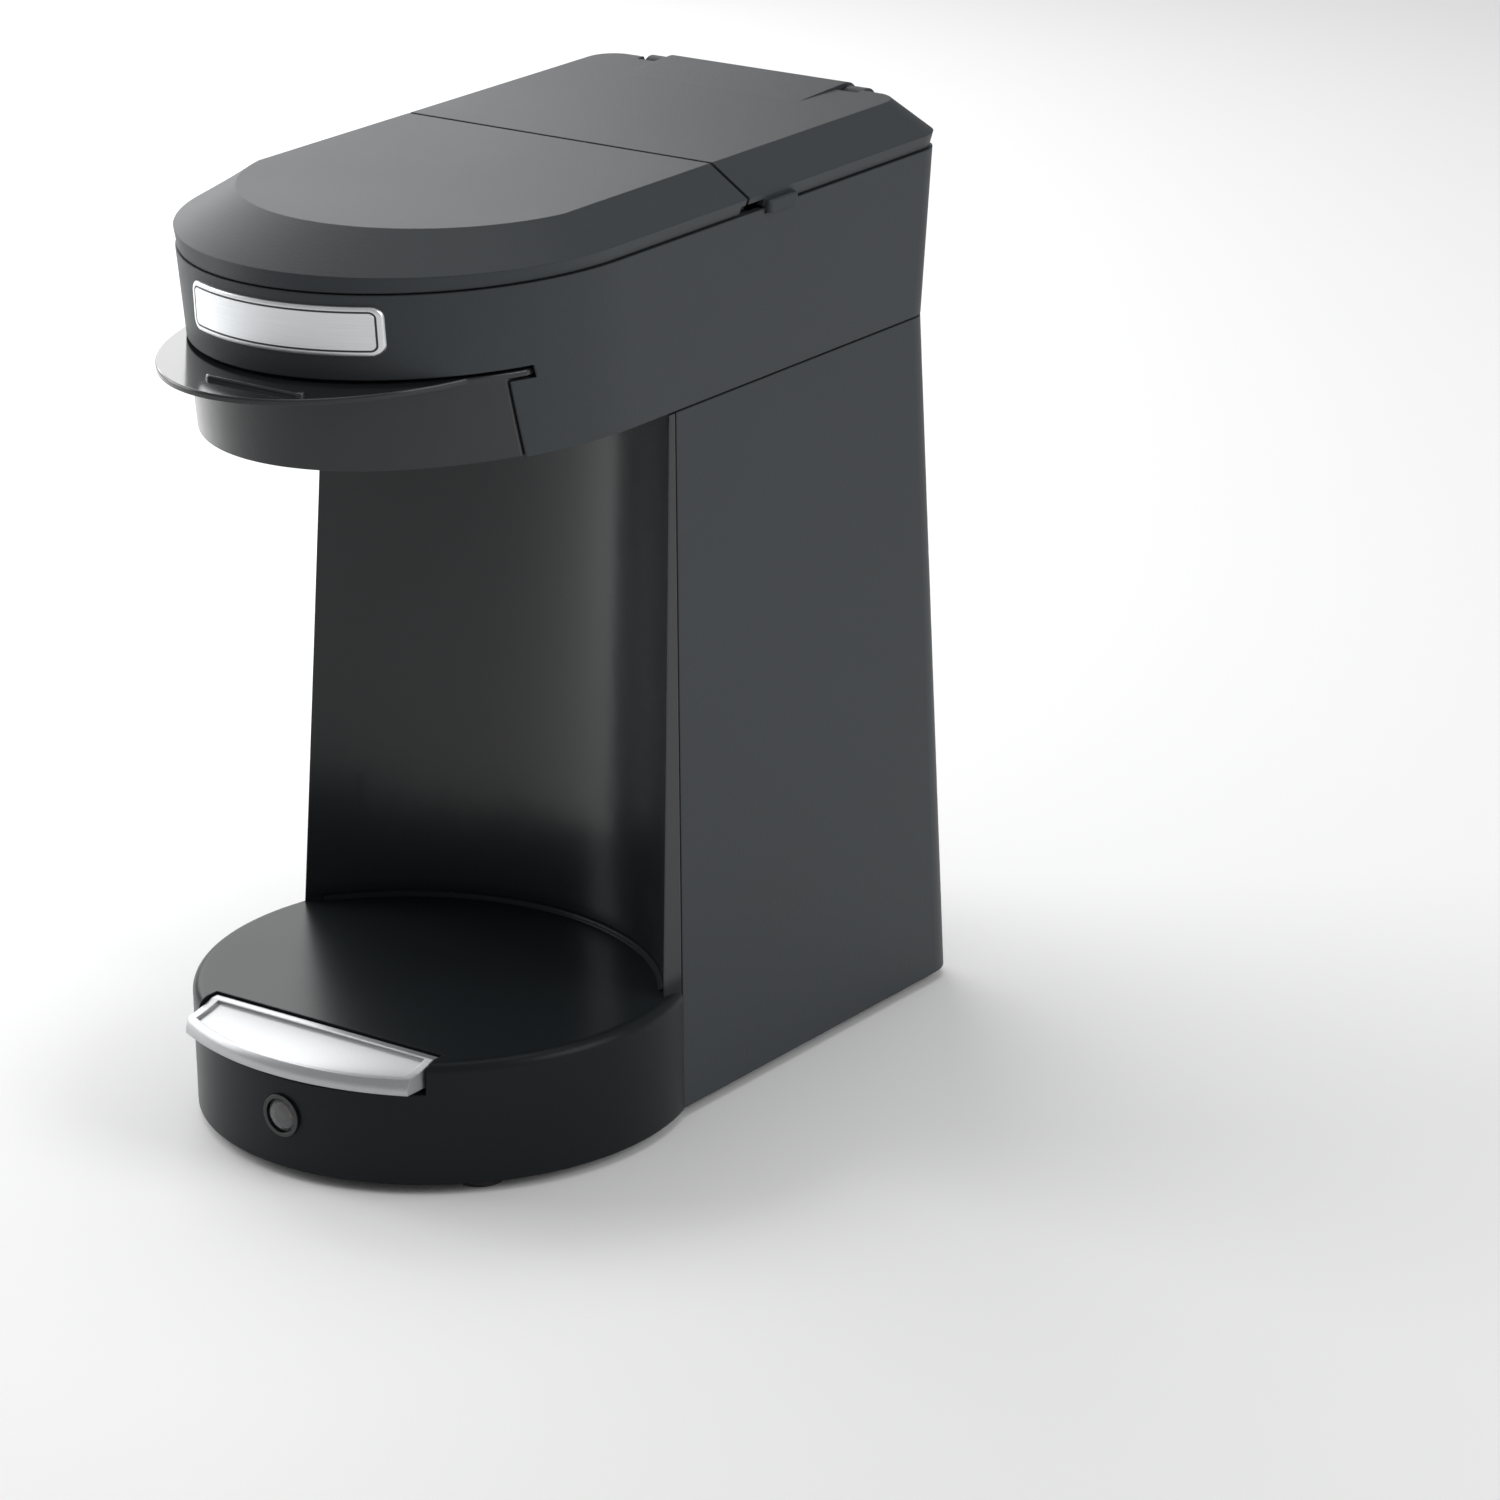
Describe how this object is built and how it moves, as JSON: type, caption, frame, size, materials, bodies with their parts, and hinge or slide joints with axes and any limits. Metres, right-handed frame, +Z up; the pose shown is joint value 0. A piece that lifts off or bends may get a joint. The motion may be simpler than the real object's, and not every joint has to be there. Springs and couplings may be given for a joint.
{
  "type": "pod coffee maker",
  "caption": "Single-cup pod coffee maker: slide-out brew basket with a round lip, hinged rear water lid, round cup platform and press button.",
  "frame": {"origin": "middle of the overall box, on the surface that the feet stand on", "axes": "+Z up, -Y to the front where the basket and button are, +X to the right seen from the front"},
  "size_m": [0.1384, 0.242, 0.2608],
  "materials": {
    "charcoal_matte": "fine grained charcoal black moulded plastic",
    "charcoal_satin": "smooth satin charcoal black moulded plastic",
    "basket_gloss": "glossy smoky black plastic",
    "silver_satin": "satin silver paint",
    "badge_silver": "brushed aluminium, blank",
    "inner_plastic": "plain black plastic",
    "tank_plastic": "smoke grey plastic",
    "silicone": "translucent white silicone",
    "rubber_black": "black rubber",
    "cast_aluminium": "as cast",
    "steel": "plain steel",
    "brass": "plain brass",
    "board_green": "coated circuit board",
    "lens_clear": "clear smoked plastic lens",
    "lamp_red": "tinted lamp body"
  },
  "bodies": {
    "housing": {"front_frame": "charcoal_satin", "rear_shell": "charcoal_matte", "base_plate": "inner_plastic", "rubber_feet": "rubber_black", "base_screws": "steel", "neck_screws": "steel", "upper_housing": "charcoal_matte", "head_floor": "inner_plastic", "top_cover": "charcoal_matte", "hinge_pin": "steel", "badge_plate": "badge_silver", "brew_plate": "inner_plastic", "spray_head": "inner_plastic", "spray_gasket": "silicone", "water_reservoir": "tank_plastic", "reservoir_strainer": "tank_plastic", "upper_inlet_hose": "silicone", "lower_inlet_hose": "silicone", "riser_hose": "silicone", "check_valve": "inner_plastic", "check_ball": "steel", "heater_casting": "cast_aluminium", "water_tube": "steel", "heating_element": "steel", "heater_bracket": "steel", "thermostat": "steel", "thermal_fuses": "brass", "button_spring": "steel", "control_board": "board_green", "micro_switch": "inner_plastic", "indicator_bezel": "inner_plastic", "indicator_lens": "lens_clear", "indicator_lamp": "lamp_red", "cord_inlet": "rubber_black", "hose_clamps": "steel"},
    "lid": {"reservoir_lid": "charcoal_matte"},
    "basket": {"brew_basket": "basket_gloss", "pod_screen": "steel"},
    "button": {"power_button": "silver_satin"}
  },
  "joints": [
    {"name": "lid_hinge", "type": "hinge", "parent": "housing", "child": "lid", "pos_m": [0, 0.1156, 0.2554], "axis": [-1, 0, 0], "range_deg": [0, 100]},
    {"name": "basket_slide", "type": "slide", "parent": "housing", "child": "basket", "axis": [0, -1, 0], "range_m": [0, 0.1]},
    {"name": "button_press", "type": "slide", "parent": "housing", "child": "button", "axis": [0, 0, -1], "range_m": [0, 0.0015], "stiffness_N_per_m": 600, "springref_m": -0.002, "deforming": ["button_spring"]}
  ]
}
